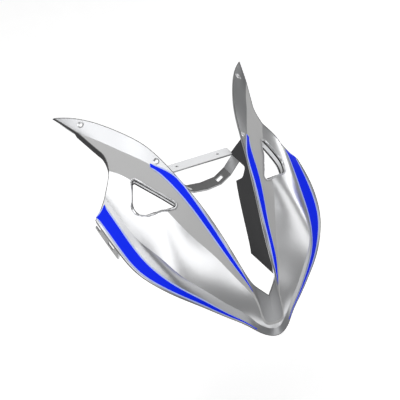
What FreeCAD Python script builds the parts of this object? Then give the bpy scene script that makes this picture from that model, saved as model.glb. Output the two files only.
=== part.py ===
"""Windscreen trim panel of a motorbike: a moulded nose panel with two swept wings, and its four stick-on stripes.

X runs across the bike, +Y to its rear and +Z up. The right half is drawn from a datum on the centre plane below
the nose, and mirrored. In the finished part the origin lies midway between the two screw holes of the bridge.
"""
import FreeCAD
import Part
import math
import os

from FreeCAD import Vector

# Main sizes of the moulding: across the wings, from nose to wing tip, and from the hem below the nose to the top
PANEL_WIDTH = 398.0
PANEL_LENGTH = 451.3
PANEL_HEIGHT = 258.4

# Character lines of the right half from the datum, station by station from the nose to the wing tip. They, and the
# other places drawn below, are stretched from the sizes that they are drawn at to the main sizes
INNER_EDGE = [(0, 11.6, 74.8), (12, 20, 85.5), (22.6, 30, 96.5), (31, 66.7, 126), (45.1, 123.8, 175.6),
              (58, 171, 208.5), (69.5, 210.7, 231.4), (86.2, 266.9, 256), (111.4, 325.3, 266.7),
              (151.8, 391.2, 269.8), (188, 434, 259)]
UPPER_CREASE = [(0, -8, 34), (15.2, -6.5, 38), (20, 9, 64), (35, 46, 108.5), (51, 99.5, 149),
                (68.9, 160.9, 199.1), (80.7, 208.4, 223.1), (95.5, 250.8, 237.5), (124.5, 302.5, 247),
                (148, 346.8, 252.5), (172, 385, 256)]
FLANK_CREASE = [(0, -10, 30), (17, -7, 33), (22.5, 8.5, 61), (38, 45, 96), (60.3, 90.8, 129.1),
                (83.4, 135.8, 156), (101.8, 175.3, 183.5), (116, 221, 203.5), (137, 270.5, 217.2),
                (154, 300, 218.5), (166, 322, 222)]
LOWER_CREASE = [(0, -13, 23.5), (18.6, -4.5, 27), (38.8, 9, 45.4), (66, 29.8, 65.7), (98.5, 58.4, 90.4),
                (127.1, 94, 111.1), (141.5, 137.1, 127.5), (154.5, 182, 138.5), (166.2, 230.4, 163.5),
                (175, 285, 193), (179, 310, 208)]
HEM = [(0, -17.3, 11.4), (19.3, -11.6, 15.3), (40.9, 5.4, 27.9), (67.9, 26.5, 42), (108, 59, 61.9),
       (145.1, 96.8, 78.1), (177, 143.6, 98.9), (191.5, 186.5, 123.3), (196.8, 230, 143),
       (198.5, 280, 161), (199, 310, 172)]

# How far the main face swells outwards, and the lower band sinks inwards, at each station
FLANK_CROWN = [0, 0.5, 2, 4, 6, 9, 9, 9, 8, 6, 5]
BAND_HOLLOW = [0, 0, 0, 0, 3, 10, 14, 9, 3, 0, 0]
HOLLOW_PLACE = 0.3

WALL = 3.0
ROOT_INSET = 1.5
ROOT_SHARE = 0.05
INNER_STATIONS = (5, 9.9)

# Rear edge in plan, from beyond the wing tip to beyond the lower corner, and its turned-in lip
REAR_TIP = (195.5, 470)
REAR_SWEEP = [(150.3, 329.2), (147.2, 311), (151.5, 294), (165, 277), (182, 265), (206, 256.5)]
LIP_WALL = 3.0
LIP_DEPTH = 8.0

# Opening in the wing, as a rounded triangle on a plane beside it
OPENING_CENTRE = (110, 215, 204)
OPENING_AXIS = Vector(0.622, -0.401, 0.672)
OPENING_REARWARD = Vector(0.348, 0.911, 0.222)
OPENING_CORNERS = [(-50.5, -9.5), (47, 0.5), (2, 60)]
OPENING_RADII = [4.0, 4.0, 23.0]
COLLAR_AXIS = Vector(0.25, -0.433, 0.866)  # draw of the tool, so the collar's walls lean with it
COLLAR_WALL = 2.5
COLLAR_DEPTH = 15.0

# Screw holes of the windscreen, as a place along the stations and a share of the seat's width
SCREW_PLACES = [(6.75, 0.45), (9.15, 0.30)]
SCREW_HOLE_R = 3.3
SCREW_SEAT_R = 5.8
SCREW_SEAT_DEPTH = 1.2

# Bridge between the flanges: a flat screw bar behind, from the middle of its front edge, and a bent strap below it
BAR_PLACE = (0, 244.5, 214)
BAR_WIDTH = 22.0
BAR_THICK = 3.0
BAR_HOLE_R = 2.6
BAR_HOLE_SPACING = 80.0
STRAP_WIDTH = 24.5
STRAP_LAP = 1.0
STRAP_BENDS = [(0, 39), (27, 36), (46, 23)]
STRAP_THICK = 3.0
STRAP_SLOT_PLACE = 25.0
STRAP_SLOT = (11.0, 9.0)

# Return flange behind the inner edge, seen from the side, with the tongue that carries the bar
FLANGE_REAR = [(0, 113, 97.5), (0, 207.5, 184), (0, 194, 196)]
FLANGE_NOTCH_R = 7.0
FLANGE_TOP = (0, 238, 247)
TONGUE_FRONT = (0, 199, 214)
TONGUE_LAP = 5.5
TONGUE_SINK = 2.0
FLANGE_REACH = 120.0
FLANGE_SETBACK = 1.6
FLANGE_STATIONS = (1.9, 6.9)

# Clip tab below the rear part of the hem, with two slots
TAB_STATIONS = (7.1, 9.5)
TAB_DROP = 15.0
TAB_LEAN = 2.0
TAB_SLOT_PLACES = [7.6, 8.45]
TAB_SLOT_LENGTH = 16.0
TAB_SLOT_HEIGHT = 6.5
TAB_SLOT_BELOW = 8.5

# Stripes of printed film: shares of the band's width at each station, and the stations where they end
FILM = 0.5
GLUE = 0.1
CUT_DEPTH = 5.0
FILM_STATIONS = (1.2, 8.9)
UPPER_STRIPE_TOP = [0.8, 0.8, 0.75, 0.4, 0.22, 0.1, 0.06, 0.9, 1.1, 1.1, 1.1]
UPPER_STRIPE_FOLD = 0.1
UPPER_STRIPE_ENDS = (2.4, 7.0)
LOWER_STRIPE_TOP = [0.8, 0.8, 0.77, 0.72, 0.64, 0.63, 0.57, 0.42, 0.31, 0.28, 0.28]
LOWER_STRIPE_FOOT = [0.88, 0.88, 0.9, 0.93, 0.95, 0.95, 0.96, 0.94, 0.92, 0.94, 0.94]
LOWER_STRIPE_ENDS = (1.5, 8.62)

UP = Vector(0, 0, 1)
ACROSS = Vector(1, 0, 0)
REARWARD = Vector(0, 1, 0)


def stretches():
    """How much the main sizes stretch the drawn lines along each axis."""
    drawn = INNER_EDGE + HEM
    spans = [max(p[i] for p in drawn) - min(p[i] for p in drawn) for i in range(3)]
    return [PANEL_WIDTH / 2 / spans[0], PANEL_LENGTH / spans[1], PANEL_HEIGHT / spans[2]]


STRETCH = stretches()
TRIM_REACH = PANEL_WIDTH + PANEL_LENGTH


def styled(x, y, z=0):
    """A drawn place, moved with the main sizes."""
    return Vector(x * STRETCH[0], y * STRETCH[1], z * STRETCH[2])


def between(start, end, share):
    return start + (end - start) * share


LINES = [[styled(*p) for p in line] for line in (INNER_EDGE, UPPER_CREASE, FLANK_CREASE, LOWER_CREASE, HEM)]
BAR_EDGE = styled(*BAR_PLACE)
ORIGIN = BAR_EDGE + REARWARD * (BAR_WIDTH / 2)


def station_places():
    """Places of the stations along the wing: the mean distance that the lines have run."""
    places = [0.0]
    for k in range(1, len(HEM)):
        steps = [line[k].distanceToPoint(line[k - 1]) for line in LINES]
        places.append(places[-1] + sum(steps) / len(steps))
    return places


PLACES = station_places()


def place(station):
    """Place along the wing of a station number, which may lie between two stations."""
    k = min(int(station), len(PLACES) - 2)
    return PLACES[k] + (PLACES[k + 1] - PLACES[k]) * (station - k)


def spline(points, smooth_nose=True):
    """Spline through one point per station, which crosses the centre plane squarely if smooth_nose is set."""
    curve = Part.BSplineCurve()
    if not smooth_nose:
        curve.interpolate(Points=points, Parameters=PLACES)
        return curve
    mirrored = [Vector(-p.x, p.y, p.z) for p in reversed(points[1:])]
    curve.interpolate(Points=mirrored + points, Parameters=[-t for t in reversed(PLACES[1:])] + PLACES)
    curve.segment(0, PLACES[-1])
    return curve


def inward(line, k, start, end):
    """Unit normal at station k of a line, for a band that runs from start to end across it, into the panel."""
    along = spline(line, k > 0 or line is not LINES[0]).tangent(PLACES[k])[0]
    return along.cross(end - start).normalize()


def band_controls():
    """One control point per band and station: midway on flat bands, off the chord on the swollen and hollow ones."""
    shapes = [(0.5, None), (0.5, None), (0.5, FLANK_CROWN), (HOLLOW_PLACE, BAND_HOLLOW)]
    controls = []
    for i, (share, bulges) in enumerate(shapes):
        points = []
        for k, (start, end) in enumerate(zip(LINES[i], LINES[i + 1])):
            point = between(start, end, share)
            if bulges:
                side = -1 if bulges is FLANK_CROWN else 1
                point = point + inward(LINES[i], k, start, end) * (side * bulges[k])
            points.append(point)
        controls.append(points)
    return controls


CONTROLS = band_controls()


def moved_in(lines, controls, depth):
    """The same lines and controls, moved into the panel by depth along the normals of the bands."""
    count = len(lines[0])
    first = [[inward(lines[i], k, lines[i][k], controls[i][k]) for k in range(count)]
             for i in range(len(controls))]
    last = [[inward(lines[i + 1], k, controls[i][k], lines[i + 1][k]) for k in range(count)]
            for i in range(len(controls))]
    new_lines = []
    for i, line in enumerate(lines):
        points = []
        for k in range(count):
            sides = []
            if i > 0:
                sides.append(last[i - 1][k])
            if i < len(controls):
                sides.append(first[i][k])
            step = sides[0]
            if len(sides) == 2:
                step = (sides[0] + sides[1]) * (1 / (1 + sides[0].dot(sides[1])))
            point = line[k] + step * depth
            if k == 0:
                point.x = 0
            points.append(point)
        new_lines.append(points)
    new_controls = []
    for i, line in enumerate(controls):
        points = []
        for k in range(count):
            step = (first[i][k] + last[i][k]).normalize()
            point = line[k] + step * (depth / max(step.dot(first[i][k]), 0.5))
            if k == 0:
                point.x = 0
            points.append(point)
        new_controls.append(points)
    return new_lines, new_controls


def patch(rows, across_degree):
    """Face of a spline surface whose control rows are splines with the same knots."""
    poles = [list(column) for column in zip(*[row.getPoles() for row in rows])]
    surface = Part.BSplineSurface()
    ends = [across_degree + 1, across_degree + 1]
    surface.buildFromPolesMultsKnots(poles, rows[0].getMultiplicities(), ends, rows[0].getKnots(), [0, 1],
                                     False, False, 3, across_degree)
    return surface


def end_cap(outer_rows, inner_rows, end):
    poles = [[o.getPoles()[end], i.getPoles()[end]] for o, i in zip(outer_rows, inner_rows)]
    surface = Part.BSplineSurface()
    surface.buildFromPolesMultsKnots(poles, [3, 3], [2, 2], [0, 1], [0, 1], False, False, 2, 1)
    return surface


def layer(lines, controls, outer, inner, stations, smooth_first=True):
    """Closed layer between two depths of a run of bands, from one station to another."""
    ends = [place(s) for s in stations]

    def rows(depth):
        new_lines, new_controls = moved_in(lines, controls, depth)
        line_rows = [spline(line, smooth_first or i > 0) for i, line in enumerate(new_lines)]
        control_rows = [spline(line) for line in new_controls]
        for row in line_rows + control_rows:
            row.segment(*ends)
        return line_rows, control_rows

    outer_lines, outer_controls = rows(outer)
    inner_lines, inner_controls = rows(inner)
    surfaces = []
    for i in range(len(controls)):
        outer_rows = [outer_lines[i], outer_controls[i], outer_lines[i + 1]]
        inner_rows = [inner_lines[i], inner_controls[i], inner_lines[i + 1]]
        surfaces += [patch(outer_rows, 2), patch(inner_rows, 2)]
        surfaces += [end_cap(outer_rows, inner_rows, 0), end_cap(outer_rows, inner_rows, -1)]
    for i in (0, -1):
        surfaces.append(patch([outer_lines[i], inner_lines[i]], 1))
    shell = Part.Shell([surface.toShape() for surface in surfaces])
    shell.sewShape()
    solid = Part.Solid(shell.Shells[0])
    solid.fix(0.001, 0.001, 0.001)
    if solid.Volume < 0:
        solid.reverse()
    return solid


def rounded_face(points, radii):
    """Flat face of a polygon whose corners are rounded by the radii."""
    edges = []
    starts = []
    count = len(points)
    for i, (corner, radius) in enumerate(zip(points, radii)):
        back = (points[i - 1] - corner).normalize()
        ahead = (points[(i + 1) % count] - corner).normalize()
        half = back.getAngle(ahead) / 2
        reach = radius / math.tan(half)
        middle = corner + (back + ahead).normalize() * (radius / math.sin(half) - radius)
        starts.append((corner + back * reach, middle, corner + ahead * reach, radius > 0))
    for i, (enter, middle, leave, is_round) in enumerate(starts):
        if is_round:
            edges.append(Part.Arc(enter, middle, leave).toShape())
        edges.append(Part.LineSegment(leave, starts[(i + 1) % count][0]).toShape())
    return Part.Face(Part.Wire(edges))


def polygon_face(points):
    return Part.Face(Part.makePolygon(points + points[:1]))


def prism(face, start, length):
    """Solid from a face that is first moved by start and then extruded by length."""
    face = face.copy()
    face.translate(start)
    return face.extrude(length)


def rear_plan(inset):
    """Plan of what lies behind the rear edge, widened into the panel by the inset."""
    points = [styled(x, y) for x, y in [REAR_TIP] + REAR_SWEEP]
    edge = []
    for i, point in enumerate(points):
        back = points[max(i - 1, 0)]
        ahead = point if i == 1 else points[min(i + 1, len(points) - 1)]
        edge.append(point + (ahead - back).cross(UP).normalize() * inset)
    sweep = Part.BSplineCurve()
    sweep.interpolate(Points=edge[1:])
    corner = Vector(TRIM_REACH, edge[-1].y, 0)
    far = Vector(TRIM_REACH, edge[0].y, 0)
    sides = [(edge[0], edge[1]), (edge[-1], corner), (corner, far), (far, edge[0])]
    lines = [Part.LineSegment(*side).toShape() for side in sides]
    return Part.Face(Part.Wire([lines[0], sweep.toShape()] + lines[1:]))


def opening_face(grown):
    """Outline of the opening, grown outwards."""
    downward = OPENING_REARWARD.cross(OPENING_AXIS)
    corners = [styled(*OPENING_CENTRE) + OPENING_REARWARD * a + downward * b for a, b in OPENING_CORNERS]
    outer = []
    for i, corner in enumerate(corners):
        back = (corners[i - 1] - corner).normalize()
        ahead = (corners[(i + 1) % len(corners)] - corner).normalize()
        outwards = (back + ahead).normalize() * (-grown / math.sin(back.getAngle(ahead) / 2))
        outer.append(corner + outwards)
    return rounded_face(outer, [radius + grown for radius in OPENING_RADII])


def seat_surface():
    rows = [spline(LINES[0], False), spline(CONTROLS[0]), spline(LINES[1])]
    return patch(rows, 2)


def screw_cutters():
    """Hole and dished seat of each windscreen screw, square to the seat."""
    seat = seat_surface()
    cutters = []
    for station, share in SCREW_PLACES:
        point = seat.value(place(station), share)
        axis = seat.normal(place(station), share)
        if axis.z < 0:
            axis = axis * -1
        cutters.append(Part.makeCylinder(SCREW_HOLE_R, 6 * WALL, point - axis * (3 * WALL), axis))
        slope = (SCREW_SEAT_R - SCREW_HOLE_R) / SCREW_SEAT_DEPTH
        top_r = SCREW_SEAT_R + slope * SCREW_SEAT_DEPTH
        cutters.append(Part.makeCone(SCREW_HOLE_R, top_r, 2 * SCREW_SEAT_DEPTH,
                                     point - axis * SCREW_SEAT_DEPTH, axis))
    return cutters


def root_points(line, neighbour):
    """Points in the middle of the wall, a little inside the edge along a line, where other walls grow from it."""
    middle = moved_in(LINES, CONTROLS, WALL / 2)[0]
    return [edge + (beside - edge).normalize() * ROOT_INSET
            for edge, beside in zip(middle[line], middle[neighbour])]


def flange():
    """Wall that runs straight back from the inner edge, with a tongue for the bridge and a notch below it."""
    edge = spline(root_points(0, 1), False)
    edge.segment(*[place(s) for s in FLANGE_STATIONS])
    edge.translate(REARWARD * FLANGE_SETBACK)
    wall = edge.toShape().extrude(REARWARD * FLANGE_REACH).extrude(ACROSS * WALL)
    rear = [styled(*p) for p in FLANGE_REAR]
    top = styled(*FLANGE_TOP)
    floor = BAR_EDGE.z - TONGUE_SINK
    tongue = [Vector(0, y, floor) for y in (styled(*TONGUE_FRONT).y, BAR_EDGE.y + TONGUE_LAP)]
    outline = [Vector(0, 0, rear[0].z)] + rear + tongue + [top, Vector(0, 0, top.z)]
    radii = [0, 0, 0, FLANGE_NOTCH_R, FLANGE_NOTCH_R, 0, 0, 0]
    return wall.common(rounded_face(outline, radii).extrude(ACROSS * TRIM_REACH))


def bridge_half():
    """Half length of the bridge, up to the middle of the flange's wall at the height of the bar."""
    level = Part.makePlane(TRIM_REACH, 2 * TRIM_REACH, Vector(0, -TRIM_REACH / 2, BAR_EDGE.z))
    root = spline(root_points(0, 1), False).toShape()
    return root.section(level).Vertexes[0].X + WALL / 2


def bridge():
    """Right half of the screw bar and of the strap below it."""
    half = bridge_half()
    bar = Part.makeBox(half, BAR_WIDTH, BAR_THICK, BAR_EDGE - UP * BAR_THICK)
    hole_place = ORIGIN + ACROSS * (BAR_HOLE_SPACING / 2) - UP * (2 * BAR_THICK)
    bar = bar.cut(Part.makeCylinder(BAR_HOLE_R, 3 * BAR_THICK, hole_place, UP))
    front = BAR_EDGE + REARWARD * (STRAP_LAP - STRAP_WIDTH)
    upper = [front + ACROSS * x - UP * drop for x, drop in STRAP_BENDS] + [front + ACROSS * half]
    lower = [p - UP * STRAP_THICK for p in reversed(upper)]
    strap = polygon_face(upper + lower).extrude(REARWARD * STRAP_WIDTH)
    length, width = STRAP_SLOT
    corner = upper[0] + ACROSS * STRAP_SLOT_PLACE + REARWARD * ((STRAP_WIDTH - width) / 2)
    slot = Part.makeBox(length, width, 10 * STRAP_THICK, corner - UP * (5 * STRAP_THICK))
    return bar.fuse(strap.cut(slot))


def clip_tab():
    """Thin wall below the rear part of the hem, with two slots along it."""
    edge = spline(root_points(4, 3))
    edge.segment(*[place(s) for s in TAB_STATIONS])
    tab = edge.toShape().extrude(Vector(TAB_LEAN, 0, -TAB_DROP)).extrude(ACROSS * -WALL)
    for station in TAB_SLOT_PLACES:
        centre = edge.value(place(station)) - UP * TAB_SLOT_BELOW
        along = edge.tangent(place(station))[0]
        along.x = 0
        along = along.normalize() * (TAB_SLOT_LENGTH / 2)
        high = along.cross(ACROSS).normalize() * (TAB_SLOT_HEIGHT / 2)
        corners = [centre - along - high, centre + along - high, centre + along + high, centre - along + high]
        tab = tab.cut(prism(polygon_face(corners), ACROSS * (-3 * WALL), ACROSS * (6 * WALL)))
    return tab


def blossom(i, first, second):
    """Control row of band i between two shares of its width, each one number or one for each station."""
    first, second = [s if isinstance(s, list) else [s] * len(HEM) for s in (first, second)]
    points = []
    for start, middle, end, a, b in zip(LINES[i], CONTROLS[i], LINES[i + 1], first, second):
        points.append(between(between(start, middle, a), between(middle, end, a), b))
    return points


def inner_bands():
    """The bands, stopping a little short of the panel's two free edges."""
    lines = [blossom(0, ROOT_SHARE, ROOT_SHARE)] + LINES[1:4] + [blossom(3, 1 - ROOT_SHARE, 1 - ROOT_SHARE)]
    controls = [blossom(0, ROOT_SHARE, 1)] + CONTROLS[1:3] + [blossom(3, 0, 1 - ROOT_SHARE)]
    return lines, controls


def trim_panel():
    """The whole moulding."""
    last = len(HEM) - 1
    skin = layer(LINES, CONTROLS, 0, WALL, (0, last), smooth_first=False)
    lip = layer(*inner_bands(), WALL / 2, LIP_DEPTH, INNER_STATIONS)
    lip = lip.common(prism(rear_plan(LIP_WALL), Vector(), UP * TRIM_REACH * 2))
    reach = COLLAR_AXIS * (4 * COLLAR_DEPTH)
    collar = layer(*inner_bands(), WALL / 2, COLLAR_DEPTH, INNER_STATIONS)
    collar = collar.common(prism(opening_face(COLLAR_WALL), reach * -1, reach * 2))
    half = skin.fuse([lip, collar, flange(), clip_tab()])
    half = half.cut(prism(rear_plan(0), Vector(), UP * TRIM_REACH * 2))
    half = half.cut([prism(opening_face(0), reach * -1, reach * 2)] + screw_cutters())
    half = half.fuse(bridge())
    return half.fuse(half.mirror(Vector(), ACROSS)).removeSplitter()


def film(first, last, lines, controls, ends):
    """Film laid on the bands between two lines of the panel, and cut to the outline that lines and controls give."""
    bands = LINES[first:last + 1], CONTROLS[first:last]
    sheet = layer(*bands, -GLUE - FILM, -GLUE, FILM_STATIONS, smooth_first=first > 0)
    return sheet.common(layer(lines, controls, -CUT_DEPTH, CUT_DEPTH, ends))


def upper_stripe():
    """Film on the seat below the inner edge, folded over the upper crease."""
    fold = UPPER_STRIPE_FOLD
    lines = [blossom(0, UPPER_STRIPE_TOP, UPPER_STRIPE_TOP), LINES[1], blossom(1, fold, fold)]
    controls = [blossom(0, UPPER_STRIPE_TOP, 1), blossom(1, 0, fold)]
    return film(0, 2, lines, controls, UPPER_STRIPE_ENDS)


def lower_stripe():
    """Film along the lower band."""
    lines = [blossom(3, LOWER_STRIPE_TOP, LOWER_STRIPE_TOP), blossom(3, LOWER_STRIPE_FOOT, LOWER_STRIPE_FOOT)]
    controls = [blossom(3, LOWER_STRIPE_TOP, LOWER_STRIPE_FOOT)]
    return film(3, 4, lines, controls, LOWER_STRIPE_ENDS)


def export(shape, node):
    shape = shape.copy()
    shape.translate(ORIGIN * -1)
    shape.exportStep(f"parts/{node}.step")
    box = shape.BoundBox
    print(f"{node}: {len(shape.Solids)} solid, valid {shape.isValid()}, volume {shape.Volume:.0f} mm3,"
          f" box {box.XLength:.1f} x {box.YLength:.1f} x {box.ZLength:.1f} mm")


os.makedirs("parts", exist_ok=True)
export(trim_panel(), "trim_panel")
for name, stripe in (("upper_stripe", upper_stripe()), ("lower_stripe", lower_stripe())):
    export(stripe, f"{name}_right")
    export(stripe.mirror(Vector(), ACROSS), f"{name}_left")
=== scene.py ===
# %% [markdown]
# # A motorbike's windscreen trim panel
# The panel is one silver moulding with two swept wings, and four strips of printed blue film on it. The
# moulding comes in as a fixed frame, at its real size in metres. This script gives it its paint, prints
# the film to shape on its surface, edges the two openings, and sets up the studio and the camera.

# %% Load the frame
import math

import bmesh
import bpy
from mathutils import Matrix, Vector
from mathutils.bvhtree import BVHTree
from mathutils.kdtree import KDTree


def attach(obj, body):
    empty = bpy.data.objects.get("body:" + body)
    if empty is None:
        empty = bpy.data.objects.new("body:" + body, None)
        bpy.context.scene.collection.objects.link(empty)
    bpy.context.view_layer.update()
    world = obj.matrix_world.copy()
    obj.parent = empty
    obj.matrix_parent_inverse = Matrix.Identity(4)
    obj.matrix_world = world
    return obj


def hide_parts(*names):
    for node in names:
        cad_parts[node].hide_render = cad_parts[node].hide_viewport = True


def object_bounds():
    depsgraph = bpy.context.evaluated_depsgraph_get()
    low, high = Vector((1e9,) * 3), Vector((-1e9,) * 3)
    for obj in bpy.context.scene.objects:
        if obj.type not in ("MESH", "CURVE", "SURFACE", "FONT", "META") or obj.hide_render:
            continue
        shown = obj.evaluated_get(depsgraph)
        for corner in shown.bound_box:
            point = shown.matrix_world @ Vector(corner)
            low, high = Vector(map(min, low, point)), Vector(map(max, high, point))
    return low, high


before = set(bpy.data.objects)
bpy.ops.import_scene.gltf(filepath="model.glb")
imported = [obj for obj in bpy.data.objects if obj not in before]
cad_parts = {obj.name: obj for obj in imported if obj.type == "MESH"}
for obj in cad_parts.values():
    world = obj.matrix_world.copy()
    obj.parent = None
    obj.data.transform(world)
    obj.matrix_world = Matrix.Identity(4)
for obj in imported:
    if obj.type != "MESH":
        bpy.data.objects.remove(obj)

MM = 0.001
cad_low, cad_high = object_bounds()
print("CAD box in mm:", [round((high - low) / MM) for low, high in zip(cad_low, cad_high)])

# %% [markdown]
# ## The camera
# The picture is a parallel projection, so the camera is orthographic, and its scale is simply the width
# of the view. It looks at the panel from its front left and from above. A parallel camera only needs a
# direction, and a point that lies in the middle of the picture.

# %% Camera
VIEW_AZIMUTH = math.radians(-30)
VIEW_ELEVATION = math.radians(32)
VIEW_WIDTH = 0.68
VIEW_MIDDLE = Vector((-0.0453, -0.0879, -0.0179))
CAMERA_DISTANCE = 2.0

to_camera = Vector((math.sin(VIEW_AZIMUTH) * math.cos(VIEW_ELEVATION),
                    -math.cos(VIEW_AZIMUTH) * math.cos(VIEW_ELEVATION),
                    math.sin(VIEW_ELEVATION)))
camera = bpy.data.objects.new("camera", bpy.data.cameras.new("camera"))
bpy.context.scene.collection.objects.link(camera)
camera.data.type = "ORTHO"
camera.data.ortho_scale = VIEW_WIDTH
camera.location = VIEW_MIDDLE + to_camera * CAMERA_DISTANCE
camera.rotation_mode = "QUATERNION"
camera.rotation_quaternion = (-to_camera).to_track_quat("-Z", "Y")
bpy.context.scene.camera = camera
print("camera at", [round(c, 3) for c in camera.location])

# %% [markdown]
# ## Silver paint
# The moulding is sprayed with a silver base coat full of fine metal flakes, under a clear coat. A
# metallic shader gives the broad, soft reflections, a fine noise in roughness and colour stands for the
# flakes, and a faint bump for the slight ripple that sprayed paint has. The noise is driven by the place
# on the object in metres, so it stays put when the view turns.

# %% Grain and ripple
FLAKE_SCALE, FLAKE_DETAIL = 2600, 3
FLAKE_LOW, FLAKE_HIGH = 0.35, 0.65
RIPPLE_SCALE, RIPPLE_DETAIL = 220, 2
RIPPLE_STRENGTH, RIPPLE_HEIGHT = 0.15, 0.05 * MM


def new_material(name):
    material = bpy.data.materials.new(name)
    material.use_nodes = True
    nodes = material.node_tree.nodes
    return material, nodes, material.node_tree.links, nodes["Principled BSDF"]


def noise(nodes, links, scale, detail):
    """Noise that is fixed to the object, because its place in metres drives it."""
    place = nodes.new("ShaderNodeTexCoord")
    texture = nodes.new("ShaderNodeTexNoise")
    texture.inputs["Scale"].default_value = scale
    texture.inputs["Detail"].default_value = detail
    links.new(place.outputs["Object"], texture.inputs["Vector"])
    return texture


def ripple(nodes, links, shader):
    """Faint bump of a sprayed or moulded surface."""
    texture = noise(nodes, links, RIPPLE_SCALE, RIPPLE_DETAIL)
    bump = nodes.new("ShaderNodeBump")
    bump.inputs["Strength"].default_value = RIPPLE_STRENGTH
    bump.inputs["Distance"].default_value = RIPPLE_HEIGHT
    links.new(texture.outputs["Fac"], bump.inputs["Height"])
    links.new(bump.outputs["Normal"], shader.inputs["Normal"])


def speckle(nodes, links, shader, scale, dark, light):
    """Fine grain in the colour, between two near shades."""
    grain = noise(nodes, links, scale, FLAKE_DETAIL)
    shades = nodes.new("ShaderNodeValToRGB")
    shades.color_ramp.elements[0].position = FLAKE_LOW
    shades.color_ramp.elements[1].position = FLAKE_HIGH
    shades.color_ramp.elements[0].color = dark
    shades.color_ramp.elements[1].color = light
    links.new(grain.outputs["Fac"], shades.inputs["Fac"])
    links.new(shades.outputs["Color"], shader.inputs["Base Color"])
    return grain


def spread(nodes, links, source, limits, target):
    """Maps a noise to a range of values on a shader's socket."""
    values = nodes.new("ShaderNodeMapRange")
    values.inputs["To Min"].default_value = limits[0]
    values.inputs["To Max"].default_value = limits[1]
    links.new(source, values.inputs["Value"])
    links.new(values.outputs["Result"], target)


# %% Silver paint
SILVER = (0.655, 0.66, 0.67, 1)
SILVER_DARK = (0.625, 0.63, 0.64, 1)
SILVER_ROUGHNESS = (0.30, 0.38)
METALLIC = 0.9
COAT, COAT_ROUGHNESS = 0.15, 0.1


def silver_paint(name, dark, light):
    material, nodes, links, shader = new_material(name)
    grain = speckle(nodes, links, shader, FLAKE_SCALE, dark, light)
    spread(nodes, links, grain.outputs["Fac"], SILVER_ROUGHNESS, shader.inputs["Roughness"])
    ripple(nodes, links, shader)
    shader.inputs["Metallic"].default_value = METALLIC
    shader.inputs["Coat Weight"].default_value = COAT
    shader.inputs["Coat Roughness"].default_value = COAT_ROUGHNESS
    return material


silver = silver_paint("silver_paint", SILVER_DARK, SILVER)
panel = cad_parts["trim_panel"]
panel.data.materials.clear()
panel.data.materials.append(silver)
print("panel:", len(panel.data.polygons), "faces")

# %% [markdown]
# ## The matt grey band
# Between the windscreen seat and the main face runs a band that is one even grey on both wings, whichever
# way it faces. So it is masked off and sprayed in a matt grey, which has no highlights. The moulding's
# mesh is in islands, one for each face of the solid, so a face is picked by a point on it, and gets a
# finish of its own.

# %% Faces of the moulding
panel_tree = BVHTree.FromPolygons([vertex.co for vertex in panel.data.vertices],
                                  [polygon.vertices for polygon in panel.data.polygons])
corner_faces = [[] for _ in panel.data.vertices]
for polygon in panel.data.polygons:
    for vertex in polygon.vertices:
        corner_faces[vertex].append(polygon.index)


def solid_face(point):
    """Polygons of the solid's face that lies nearest to a point."""
    start = panel_tree.find_nearest(point)[2]
    found = {start}
    waiting = [start]
    while waiting:
        for vertex in panel.data.polygons[waiting.pop()].vertices:
            fresh = set(corner_faces[vertex]) - found
            found |= fresh
            waiting += fresh
    return found


def both_sides(point):
    """A point given in mm, and its mirror image on the other wing."""
    return [Vector((side * point[0], point[1], point[2])) * MM for side in (1, -1)]


def finish_faces(points, material):
    """Gives the faces at some points, on both sides, another material."""
    panel.data.materials.append(material)
    changed = set().union(*[solid_face(place) for point in points for place in both_sides(point)])
    for index in changed:
        panel.data.polygons[index].material_index = len(panel.data.materials) - 1
    print(material.name, "on", len(changed), "faces")


# %% Matt grey band
GREY = (0.53, 0.53, 0.53, 1)
GREY_DARK = (0.51, 0.51, 0.51, 1)
MATT_ROUGHNESS = (0.55, 0.70)
MATT_SPECULAR = 0.2
BAND_POINT = (91.4, -67.7, -13.9)
TAB_POINTS = [(192.2, -33.4, -80.7), (195.5, -32.1, -82.1)]


def matt_finish(name, dark, light, specular):
    material, nodes, links, shader = new_material(name)
    grain = speckle(nodes, links, shader, FLAKE_SCALE, dark, light)
    spread(nodes, links, grain.outputs["Fac"], MATT_ROUGHNESS, shader.inputs["Roughness"])
    ripple(nodes, links, shader)
    shader.inputs["Specular IOR Level"].default_value = specular
    return material


matt_grey = matt_finish("matt_grey", GREY_DARK, GREY, MATT_SPECULAR)
finish_faces([BAND_POINT] + TAB_POINTS, matt_grey)

# %% [markdown]
# ## The seat and the strap, in painted shade
# The strip that the windscreen is screwed down on, and the low band that carries the wide stripe, get
# a copy of the silver a shade darker than the main face: painted shade, for the darker shading these
# faces have. The strap behind the gap gets a dull dark grey where it lies flat, which is painted shade too.

# %% Seat and strap
# A darker copy of the silver: painted shade on the seat and on the low band.
SEAT_SHADE = (0.45, 0.455, 0.465, 1)
SEAT_SHADE_DARK = (0.42, 0.425, 0.435, 1)
SEAT_POINT = (80.9, -42.8, 11.5)
LOW_BAND_POINT = (142.3, -130.2, -106.0)
# A dull dark grey: painted shade on the strap's flat faces, and on the edge line further down.
SHADE_GREY = (0.17, 0.17, 0.17, 1)
SHADE_GREY_DARK = (0.14, 0.14, 0.14, 1)
STRAP_POINTS = [(39.3, -26.3, -27.6), (8.3, -23.7, -38.1)]

finish_faces([SEAT_POINT, LOW_BAND_POINT], silver_paint("shaded_seat_silver", SEAT_SHADE_DARK, SEAT_SHADE))
finish_faces(STRAP_POINTS, matt_finish("strap_painted_shade", SHADE_GREY_DARK, SHADE_GREY, MATT_SPECULAR))
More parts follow.
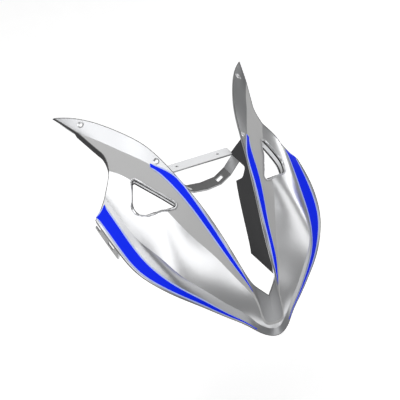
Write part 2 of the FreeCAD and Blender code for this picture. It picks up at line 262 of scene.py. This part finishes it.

# %% [markdown]
# ## Painted shade inside
# The backs of the wings, the return flange in the windscreen's gap and the edges that turn away to the rear
# get a very dark plastic colour with a fine grain. It is painted shade: these faces turn away from the
# light, and the dark colour stands in for their shade.

# %% Painted shade inside
# A very dark grey, painted shade on the backs, the flange and the rear edges.
SHADE_PLASTIC = (0.054, 0.054, 0.056, 1)
SHADE_PLASTIC_DARK = (0.043, 0.043, 0.045, 1)
INSIDE_POINTS = [(105.2, -131.9, -72.1), (138.9, -130.3, -107.5), (88.1, -64.7, -13.6), (83.1, -28.7, 14.1)]
FLANGE_POINTS = [(40.6, -115.7, -54.4), (44.8, -115.1, -50.2), (37.1, -96.8, -74.7), (24.9, -191.9, -116.5),
                 (51.8, -51.4, -27.0), (61.6, -55.6, -3.5), (55.6, -60.1, -18.0), (59.8, -58.7, -9.2)]
EDGE_POINTS = [(160.3, 26.2, -14.5), (156.0, 26.5, -12.2), (163.1, 113.5, 35.5), (161.4, 118.0, 34.4),
               (139.9, -162.4, -139.0)]

painted_shade_plastic = matt_finish("painted_shade_plastic", SHADE_PLASTIC_DARK, SHADE_PLASTIC, MATT_SPECULAR)
finish_faces(INSIDE_POINTS + FLANGE_POINTS + EDGE_POINTS, painted_shade_plastic)

# %% [markdown]
# ## The blue film
# The stripes are cut from printed film: bright blue, with a pale pinstripe printed along every edge, and
# each runs out to a fine tip at the nose. A picture could be laid over them by a UV map, but its lines
# would blur from close by. So the two inks are two plain materials, and the next steps cut the mesh of
# each strip along the line where they meet.

# %% Film print
BLUE = (0.0, 0.024, 1.0, 1)
BLUE_DARK = (0.0, 0.020, 0.95, 1)
PALE = (0.52, 0.60, 0.98, 1)
PALE_DARK = (0.49, 0.57, 0.95, 1)
FILM_SPECULAR = 0.12

blue = matt_finish("blue_print", BLUE_DARK, BLUE, FILM_SPECULAR)
pale = matt_finish("pale_print", PALE_DARK, PALE, FILM_SPECULAR)

# %% [markdown]
# ## The outer side of the film
# The frame holds the film as plain strips, and the upper ones fold over the crease of the seat. A strip's
# mesh is in islands too, and the large ones that stand off the panel are its outer side. They are joined
# along the fold into one sheet, and each of its edges is cut in equal parts, so that it is fine enough to
# print on.

# %% Outer side of a strip
WELD = 0.02 * MM
OUTER_HEIGHT = 0.5 * MM
SMALLEST_SIDE = 200 * MM * MM
FINER = 3


def sides_of(sheet):
    """Groups of faces that share corners, one group for each face of the solid."""
    left = set(sheet.faces)
    while left:
        side, waiting = set(), [left.pop()]
        while waiting:
            face = waiting.pop()
            side.add(face)
            fresh = {f for vertex in face.verts for f in vertex.link_faces} & left
            left -= fresh
            waiting += fresh
        yield side


def outer_sheet(node):
    """Outer side of a strip as one sheet, joined along its fold and fine enough to print on."""
    sheet = bmesh.new()
    sheet.from_mesh(node.data)
    spare = []
    for side in sides_of(sheet):
        height = sum(panel_tree.find_nearest(f.calc_center_median())[3] for f in side) / len(side)
        if height < OUTER_HEIGHT or sum(f.calc_area() for f in side) < SMALLEST_SIDE:
            spare += side
    bmesh.ops.delete(sheet, geom=spare, context="FACES")
    bmesh.ops.remove_doubles(sheet, verts=sheet.verts, dist=WELD)
    bmesh.ops.subdivide_edges(sheet, edges=sheet.edges, cuts=FINER, use_grid_fill=True)
    return sheet


# %% [markdown]
# ## The outline of the film
# The pinstripe follows the edge of the film. So the edges that have a face on one side only are walked
# into a loop, and points are set at even steps along it. Each point also gets the direction that leads
# out of the sheet, to tell the far edge of a strip from the near one.

# %% Outline of a sheet
STEP = 0.75 * MM
FEWEST_POINTS = 8
ROUNDING = 1e-9
PROBE = 1.0 * MM


def walk(edges):
    """Orders the edges of closed loops into the points of each loop."""
    follow = {}
    for first, second in edges:
        follow.setdefault(first, []).append(second)
        follow.setdefault(second, []).append(first)
    loops = []
    while follow:
        here = next(iter(follow))
        loop = []
        while here is not None:
            loop.append(here)
            ahead = [point for point in follow.pop(here) if point in follow]
            here = ahead[0] if ahead else None
        loops.append(loop)
    return loops


def even_points(loop, step):
    """Points at even steps round a closed loop."""
    ends = loop[1:] + loop[:1]
    lengths = [(b - a).length for a, b in zip(loop, ends)]
    count = max(FEWEST_POINTS, round(sum(lengths) / step))
    spacing = sum(lengths) / count
    points, reach = [], 0.0
    for a, b, length in zip(loop, ends, lengths):
        while reach < length - ROUNDING:
            points.append(a.lerp(b, reach / length))
            reach += spacing
        reach -= length
    return points[:count]


def outline_of(sheet):
    """Even points round a sheet, with the directions out of it, along its face."""
    loops = walk([tuple(edge.verts) for edge in sheet.edges if edge.is_boundary])
    points = even_points([vertex.co.copy() for vertex in max(loops, key=len)], STEP)
    count = len(points)
    tree = BVHTree.FromBMesh(sheet)
    normals = [tree.find_nearest(point)[1] for point in points]
    outward = [(points[(i + 1) % count] - points[i - 1]).cross(normals[i]).normalized() for i in range(count)]
    reach = sum(tree.find_nearest(p + d * PROBE)[3] - tree.find_nearest(p - d * PROBE)[3]
                for p, d in zip(points, outward))
    return points, [direction * math.copysign(1, reach) for direction in outward]


# %% [markdown]
# ## The pinstripe
# The distance to the outline says where the pinstripe ends, and near a tip it gets narrower with the
# strip. The sheet is cut along that line, so the two colours meet in a clean edge. A thin solid of the
# sheet is the film, with a sharp edge in its shading at the fold.

# %% Width of the pinstripe
PINSTRIPE = 2.4 * MM
NARROW_SHARE = 0.2
ACROSS_LEAST, ACROSS_SHARE = 0.2 * MM, 0.6
SMOOTHED = range(-4, 5)


def pinstripe_widths(points, outward):
    """Width of the pinstripe round an outline, less where the strip is narrow."""
    count = len(points)
    widths = []
    for point, direction in zip(points, outward):
        spans = [point - other for other in points]
        across = [span.length for span in spans
                  if span.dot(direction) > max(ACROSS_LEAST, ACROSS_SHARE * span.length)]
        widths.append(min(PINSTRIPE, NARROW_SHARE * min(across, default=0)))
    return [sum(widths[(i + k) % count] for k in SMOOTHED) / len(SMOOTHED) for i in range(count)]


# %% Film pieces
FILM_THICK = 0.45 * MM
FOLD = math.radians(20)


def draw_pinstripe(sheet):
    """Cuts a sheet along the inner edge of its pinstripe, and prints the two sides in their colours."""
    points, outward = outline_of(sheet)
    widths = pinstripe_widths(points, outward)
    outline = KDTree(len(points))
    for index, point in enumerate(points):
        outline.insert(point, index)
    outline.balance()
    inside = {}
    for vertex in sheet.verts:
        _, index, distance = outline.find(vertex.co)
        inside[vertex] = distance - widths[index]
    cuts = []
    for edge in list(sheet.edges):
        first, second = edge.verts
        if inside[first] * inside[second] < 0:
            share = inside[first] / (inside[first] - inside[second])
            cuts.append(bmesh.utils.edge_split(edge, first, share)[1])
    inside.update((cut, 0.0) for cut in cuts)
    bmesh.ops.connect_verts(sheet, verts=cuts)
    bmesh.ops.triangulate(sheet, faces=sheet.faces)
    for face in sheet.faces:
        face.material_index = int(sum(inside[vertex] for vertex in face.verts) < 0)
        face.smooth = True


def film_piece(name, node):
    sheet = outer_sheet(node)
    draw_pinstripe(sheet)
    mesh = bpy.data.meshes.new(name)
    sheet.to_mesh(mesh)
    sheet.free()
    mesh.set_sharp_from_angle(angle=FOLD)
    piece = bpy.data.objects.new(name, mesh)
    bpy.context.scene.collection.objects.link(piece)
    mesh.materials.append(blue)
    mesh.materials.append(pale)
    thickness = piece.modifiers.new("film", "SOLIDIFY")
    thickness.thickness = FILM_THICK
    thickness.offset = -1
    return piece


for name in [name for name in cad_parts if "stripe" in name]:
    piece = film_piece("print_" + name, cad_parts[name])
    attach(piece, "root")
    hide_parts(name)
    print(piece.name, len(piece.data.polygons), "faces")

# %% [markdown]
# ## Edging of the openings
# Each wing opening has a raised, rounded rim in the silver paint. Inside its collar are two dark lines of
# painted shade, one under the rim and another at the collar's foot. All of them follow the opening's own
# edge, so first the loops where the painted faces end are walked.

# %% Loops round the painted faces
PAINTED_POINTS = [SEAT_POINT, BAND_POINT, (110.1, -131.8, -69.7), LOW_BAND_POINT]
OPENING_POINT = (112.0, -38.0, -28.0)
SHORTEST_LOOP = 20
CORNER_CELL = 2 * WELD


def painted_loops():
    """Closed loops of points where the painted side of the moulding ends."""
    painted = set().union(*[solid_face(place) for point in PAINTED_POINTS for place in both_sides(point)])
    places, uses = {}, {}
    for index in painted:
        corners = [panel.data.vertices[i].co for i in panel.data.polygons[index].vertices]
        keys = [tuple(round(c / CORNER_CELL) for c in corner) for corner in corners]
        places.update(zip(keys, corners))
        for a, b in zip(keys, keys[1:] + keys[:1]):
            uses[frozenset((a, b))] = uses.get(frozenset((a, b)), 0) + 1
    loops = walk([tuple(edge) for edge, used in uses.items() if used == 1 and len(edge) == 2])
    return [[places[key] for key in loop] for loop in loops if len(loop) > SHORTEST_LOOP]


def nearest_loop(loops, centre):
    return min(loops, key=lambda loop: (sum(loop, Vector()) / len(loop) - centre).length)


edges = painted_loops()
print("painted edges:", [len(loop) for loop in edges])

# %% [markdown]
# ## A bead along a loop
# The rim and the two lines of painted shade are beads with an oval section. A curve with a bevel could
# give them, but its section twists where the loop turns on a curved skin. So a ring is made from its own
# points: at each step along the loop one direction leads off the panel, another leads out of the opening,
# and the section is drawn in those two.

# %% Bead along a loop
BEAD_SIDES = 10


def bead(name, centres, outward, upward, reach, rise, material):
    """Closed ring with an oval section, swept along a loop."""
    count = len(centres)
    vertices = []
    for centre, out, up in zip(centres, outward, upward):
        for k in range(BEAD_SIDES):
            angle = math.tau * k / BEAD_SIDES
            vertices.append(centre + out * (reach * math.cos(angle)) + up * (rise * math.sin(angle)))
    faces = []
    for i in range(count):
        here, ahead = i * BEAD_SIDES, (i + 1) % count * BEAD_SIDES
        for k in range(BEAD_SIDES):
            turn = (k + 1) % BEAD_SIDES
            faces.append((here + k, here + turn, ahead + turn, ahead + k))
    ring = bmesh.new()
    corners = [ring.verts.new(vertex) for vertex in vertices]
    for face in faces:
        ring.faces.new([corners[i] for i in face]).smooth = True
    bmesh.ops.recalc_face_normals(ring, faces=ring.faces)
    mesh = bpy.data.meshes.new(name)
    ring.to_mesh(mesh)
    ring.free()
    mesh.materials.append(material)
    piece = bpy.data.objects.new(name, mesh)
    bpy.context.scene.collection.objects.link(piece)
    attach(piece, "root")
    return piece


# %% Directions round a loop
LEVELLED = range(-6, 7)


def ring_frame(loop):
    """Directions off the panel and away from a loop's inside, at each of its points."""
    count = len(loop)
    normals = [panel_tree.find_nearest(point)[1] for point in loop]
    upward = [sum((normals[(i + k) % count] for k in LEVELLED), Vector()).normalized() for i in range(count)]
    centre = sum(loop, Vector()) / count
    outward = [(loop[(i + 1) % count] - loop[i - 1]).cross(upward[i]).normalized() for i in range(count)]
    away = sum(out.dot(point - centre) for out, point in zip(outward, loop))
    return upward, [out * math.copysign(1, away) for out in outward]


def shifted(loop, outward, reach, drop):
    return [point + out * reach - drop for point, out in zip(loop, outward)]


# %% [markdown]
# ## The rim and the lines of painted shade
# The rim lies just outside the loop and stands a little proud of the face. The upper line of painted shade
# lies inside it, under the rim. The lower one is the same loop, moved down the collar in the direction that
# the mould's core is drawn in.

# %% Rim and lines of painted shade
RIM_STEP = 1.2 * MM
RIM_REACH, RIM_RISE = 2.0 * MM, 0.9 * MM
SHADE_LINE_RADIUS = 1.1 * MM
SHADE_LINE_INSET, SHADE_LINE_DROP = 0.2 * MM, 1.2 * MM
COLLAR_AXIS = Vector((0.25, -0.433, 0.866))
COLLAR_DROP = 12.5 * MM
# Near black, for the two lines of painted shade in each collar.
SHADE_LINE = (0.030, 0.030, 0.032, 1)
SHADE_LINE_DARK = (0.022, 0.022, 0.024, 1)
SHADE_LINE_SPECULAR = 0.15

shade_line = matt_finish("shade_line", SHADE_LINE_DARK, SHADE_LINE, SHADE_LINE_SPECULAR)
for side, label in enumerate(("right", "left")):
    axis = Vector((COLLAR_AXIS.x * (1, -1)[side], COLLAR_AXIS.y, COLLAR_AXIS.z))
    loop = even_points(nearest_loop(edges, both_sides(OPENING_POINT)[side]), RIM_STEP)
    up, out = ring_frame(loop)
    bead("rim_" + label, shifted(loop, out, RIM_REACH, Vector()), out, up, RIM_REACH, RIM_RISE, silver)
    top = shifted(loop, out, -SHADE_LINE_INSET, axis * SHADE_LINE_DROP)
    bead("shade_line_top_" + label, top, out, up, SHADE_LINE_RADIUS, SHADE_LINE_RADIUS, shade_line)
    foot = shifted(loop, out, -SHADE_LINE_INSET, axis * COLLAR_DROP)
    bead("shade_line_foot_" + label, foot, out, up, SHADE_LINE_RADIUS, SHADE_LINE_RADIUS, shade_line)
    print("opening", label, "edged along", len(loop), "points")

# %% [markdown]
# ## The dark edge line
# All round the panel runs a fine dark grey line of painted shade, which stands in for the shade on the
# moulding's edge. It is a thin round bead along the outer loop, and it also keeps the white wing apart
# from the white ground.

# %% Dark edge line
EDGE_STEP = 1.5 * MM
EDGE_RADIUS = 0.6 * MM

outline = even_points(max(edges, key=len), EDGE_STEP)
up, out = ring_frame(outline)
# The dark grey of this bead is painted shade along the panel's edge.
edge_shade_grey = matt_finish("edge_shade_grey", SHADE_GREY_DARK, SHADE_GREY, MATT_SPECULAR)
bead("painted_shade_edge", outline, out, up, EDGE_RADIUS, EDGE_RADIUS, edge_shade_grey)
print("edge of", len(outline), "points")

# %% [markdown]
# ## The studio
# A plain white floor lies below the panel and takes its soft shadow. The picture's ground is pure white,
# so the floor is lit up a little more for the camera, and for rays that reach it by a reflection or
# through something clear, so a reflection shows the same white as the picture's ground.

# %% Floor
FLOOR_DROP = 0.25
FLOOR_HALF = 6.0
FLOOR_GLOW = 0.48
FLOOR_DARK, FLOOR_LIGHT = (0.86, 0.86, 0.86, 1), (0.88, 0.88, 0.88, 1)
FLOOR_SCALE = 40
FLOOR_ROUGHNESS = 0.9
WHITE = (1, 1, 1, 1)


def floor_paint():
    material, nodes, links, shader = new_material("studio_floor")
    speckle(nodes, links, shader, FLOOR_SCALE, FLOOR_DARK, FLOOR_LIGHT)
    shader.inputs["Roughness"].default_value = FLOOR_ROUGHNESS
    path = nodes.new("ShaderNodeLightPath")
    total = path.outputs["Is Camera Ray"]
    for ray in ("Is Glossy Ray", "Is Transmission Ray"):
        either = nodes.new("ShaderNodeMath")
        either.operation = "MAXIMUM"
        links.new(total, either.inputs[0])
        links.new(path.outputs[ray], either.inputs[1])
        total = either.outputs[0]
    shader.inputs["Emission Color"].default_value = WHITE
    strength = nodes.new("ShaderNodeMath")
    strength.operation = "MULTIPLY"
    strength.inputs[1].default_value = FLOOR_GLOW
    links.new(total, strength.inputs[0])
    links.new(strength.outputs[0], shader.inputs["Emission Strength"])
    return material


floor_level = cad_low.z - FLOOR_DROP
floor_mesh = bpy.data.meshes.new("floor")
floor_mesh.from_pydata([(x * FLOOR_HALF, y * FLOOR_HALF, floor_level)
                        for x, y in ((-1, -1), (1, -1), (1, 1), (-1, 1))], [], [range(4)])
floor = bpy.data.objects.new("floor", floor_mesh)
floor_mesh.materials.append(floor_paint())
bpy.context.scene.collection.objects.link(floor)
print("floor at", round(floor_level, 3))

# %% [markdown]
# ## The lamps
# The shading in the picture comes from what the silver reflects. The left wing's main face mirrors a
# large softbox above and to the left, so it is white. Faces turned to the right mirror little but the dim
# room, and a softbox behind on the right catches the far wing's rounded shoulder. Each lamp is placed in
# the picture's own axes and has a set brightness, so a bigger one is stronger but no whiter in a
# reflection.

# %% Lamps
LAMP_DISTANCE = 1.6
ROOM = (0.22, 0.22, 0.22, 1)
view_right = Vector((math.cos(VIEW_AZIMUTH), math.sin(VIEW_AZIMUTH), 0))
view_up = to_camera.cross(view_right)


def softbox(name, across, upward, toward, size, radiance):
    """Lamp that faces the panel from a direction given in the picture's own axes."""
    lamp = bpy.data.lights.new(name, "AREA")
    lamp.shape = "RECTANGLE"
    lamp.size, lamp.size_y = size
    lamp.energy = radiance * math.pi * size[0] * size[1]
    holder = bpy.data.objects.new(name, lamp)
    away = (view_right * across + view_up * upward + to_camera * toward).normalized()
    holder.location = VIEW_MIDDLE + away * LAMP_DISTANCE
    holder.rotation_mode = "QUATERNION"
    holder.rotation_quaternion = away.to_track_quat("Z", "Y")
    bpy.context.scene.collection.objects.link(holder)
    return holder


softbox("overhead", -0.05, 0.73, 0.68, (2.4, 1.16), 1.85)
softbox("left", -0.70, 0.30, 0.65, (1.15, 1.3), 1.85)
softbox("right_rim", 0.40, 0.20, -0.90, (0.8, 0.9), 2.2)
softbox("behind", 0.0, 0.90, -0.44, (0.9, 0.7), 1.4)
softbox("right_top", 0.84, 0.53, -0.10, (0.7, 0.9), 1.6)
softbox("right_fill", 0.78, -0.35, 0.50, (1.2, 0.8), 0.8)
world = bpy.data.worlds.new("studio")
bpy.context.scene.world = world
world.use_nodes = True
world.node_tree.nodes["Background"].inputs["Color"].default_value = ROOM
bpy.context.scene.view_settings.view_transform = "Standard"
